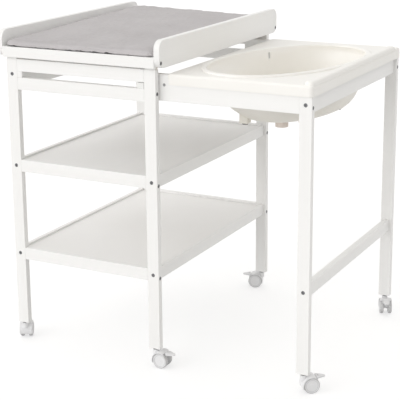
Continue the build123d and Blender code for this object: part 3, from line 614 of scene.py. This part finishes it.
# %% Muslin
weave_scale, thread_wander = 170, 0.003
painted_light_full, painted_light_end = 0.011, 0.019
contact_shadow_full, contact_shadow_end, contact_shadow_rough = 0.0015, 0.0025, 0.022
muslin = Finish("grey_muslin", Sheen_Weight=0.08, Sheen_Roughness=0.5, IOR=1.4)
wander = muslin.noise(55, detail=3, seed=1)
crinkle = muslin.noise(85, muslin.stretched((1, 0.6, 1)), detail=4, roughness=0.6, seed=4)
slub_x = muslin.noise(420, muslin.stretched((0.06, 1, 1)), detail=2, seed=6)
slub_y = muslin.noise(420, muslin.stretched((1, 0.06, 1)), detail=2, seed=7)
rise = muslin.add("SeparateXYZ", None, muslin.place, out="Z") - mat_low.z
shift = (wander - 0.5) * thread_wander + rise
bent = muslin.vector("ADD", muslin.place, muslin.vector("SCALE", (1, 1, 0), Scale=shift))


def threads(direction):
    settings = {"wave_type": "BANDS", "bands_direction": direction, "wave_profile": "SIN"}
    return muslin.add("TexWave", settings, Vector=bent, Scale=weave_scale, Distortion=0.6, Detail=1,
                      out="Fac")


weave = threads("Y") * threads("X")
faded = muslin.noise(6, detail=4, seed=12)
yarn = muslin.mix(faded.ramp(0.3, 0.7), (0.480, 0.459, 0.465, 1), (0.538, 0.517, 0.523, 1))
# Painted light: the lower part of the side is mixed paler, for the front roll that faces the light.
yarn = muslin.mix((1 - rise.ramp(painted_light_full, painted_light_end)) * 0.6, yarn, (0.70, 0.675, 0.682, 1))
yarn = muslin.mix((slub_x + slub_y - 0.9).ramp(0.0, 0.5) * 0.35, yarn, (0.60, 0.585, 0.585, 1))
yarn = muslin.mix((1 - weave.ramp(0.1, 0.7)) * 0.35, yarn, (0.36, 0.343, 0.35, 1))
# Painted shadow: a broken near-black line along the bottom edge, for the contact shade where the pad
# rests.
shadow_patches = muslin.noise(38, detail=2, seed=9)
painted_contact_shadow = 1 - (rise + (shadow_patches - 0.5) * contact_shadow_rough).ramp(contact_shadow_full, contact_shadow_end)
muslin.give(Base_Color=muslin.mix(painted_contact_shadow, yarn, (0.05, 0.05, 0.052, 1)), Roughness=0.82 + crinkle * 0.12)
muslin.bumps(weave * 0.35 + (slub_x + slub_y) * 0.2 + crinkle * 2.2, 0.0007, 0.7)
mat.data.materials.clear()
mat.data.materials.append(muslin.material)
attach(mat, "changing_mat")
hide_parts("changing_mat")
print("mat dressed")

# %% [markdown]
# CAD meshes arrive as loose triangles. They keep the shading they were packed
# with, so nothing is done to their geometry here. What is left is to check
# that no node was forgotten.

# %% Every node has a finish
bare = sorted(set(nodes) - set(finished) - {"changing_mat"})
print("nodes without a finish:", bare)

# %% [markdown]
# A product picture has a white ground that still holds the shadow. For the
# camera, and in reflections, the floor adds just enough light of its own to
# reach white where nothing shades it. For every other ray it is plain pale
# paint, which is what bounces light up under the shelves.

# %% Floor
floor_half = 60
floor_glow = 0.56
floor_form = bmesh.new()
bmesh.ops.create_grid(floor_form, x_segments=8, y_segments=8, size=floor_half)
floor_mesh = bpy.data.meshes.new("floor")
floor_form.to_mesh(floor_mesh)
floor_form.free()
floor = bpy.data.objects.new("floor", floor_mesh)
bpy.context.scene.collection.objects.link(floor)
floor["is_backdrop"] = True


def seen(sheet):
    """1 for rays from the camera and in mirrors or glass, 0 for rays that only carry light."""
    camera_ray, glossy, through = (sheet.add("LightPath", out=name) for name in (
        "Is Camera Ray", "Is Glossy Ray", "Is Transmission Ray"))
    return camera_ray.maths("MAXIMUM", camera_ray.maths("MAXIMUM", camera_ray, glossy), through)


def clean_sheet(owner):
    """The owner's node tree, emptied."""
    owner.use_nodes = True
    owner.node_tree.nodes.clear()
    return Sheet(owner.node_tree)


ground_paint = bpy.data.materials.new("pale_floor")
ground = clean_sheet(ground_paint)
pale = ground.add("BsdfDiffuse", Color=(0.66, 0.66, 0.66, 1))
shaded = ground.add("BsdfDiffuse", Color=(0.50, 0.50, 0.50, 1))
lifted = ground.add("AddShader", None, shaded, ground.add("Emission", Strength=floor_glow))
ground.add("OutputMaterial", Surface=ground.add("MixShader", None, seen(ground), pale, lifted))
floor_mesh.materials.append(ground_paint)
print("floor faces:", len(floor_mesh.polygons))

# %% [markdown]
# The room is bright and even, and brighter behind the table and to its left
# than in front, as a studio with a white backdrop is: that light reaches far
# in under the top and over the shelves. A brighter belt of sky a little above
# the horizon lights the upright faces. One broad sun from the front left
# makes the faces that look forward come out white, while those that look
# right turn a quiet warm grey.

# %% Light
backdrop_side = (-0.72, 0.7, 0)
room_light, backdrop_light, belt_light = 0.50, 0.50, 0.38
window_light, window_toward, window_spread = 1.4, (0.40, 0.85, -0.22), 70
world = bpy.data.worlds.new("studio")
bpy.context.scene.world = world
sky = clean_sheet(world)
backdrop = sky.vector("DOT_PRODUCT", sky.add("TexCoord", out="Generated"), backdrop_side, out="Value")
upward = sky.add("SeparateXYZ", None, sky.add("TexCoord", out="Generated"), out="Z")
belt = upward.ramp(0.02, 0.25) * (1 - upward.ramp(0.55, 0.9))
room = sky.add("Background", Color=(1.0, 0.988, 0.968, 1),
               Strength=room_light + backdrop.ramp(-0.7, 0.8) * backdrop_light + belt * belt_light)
white = sky.add("Background", Strength=1.0)
sky.add("OutputWorld", Surface=sky.add("MixShader", None, seen(sky), room, white))


def sun(name, strength, toward, spread):
    light = bpy.data.lights.new(name, "SUN")
    light.energy, light.angle = strength, math.radians(spread)
    lamp = bpy.data.objects.new(name, light)
    lamp.rotation_mode = "QUATERNION"
    lamp.rotation_quaternion = Vector(toward).to_track_quat("-Z", "Y")
    bpy.context.scene.collection.objects.link(lamp)
    return lamp


sun("window", window_light, window_toward, window_spread)

# %% [markdown]
# The Standard view transform keeps a white as white as it was set, which suits
# a product picture.

scene = bpy.context.scene
scene.view_settings.view_transform = "Standard"
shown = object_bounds()
for title, box in (("CAD box", cad_box), ("shown", shown)):
    print(title, [[round(v, 4) for v in corner] for corner in box])
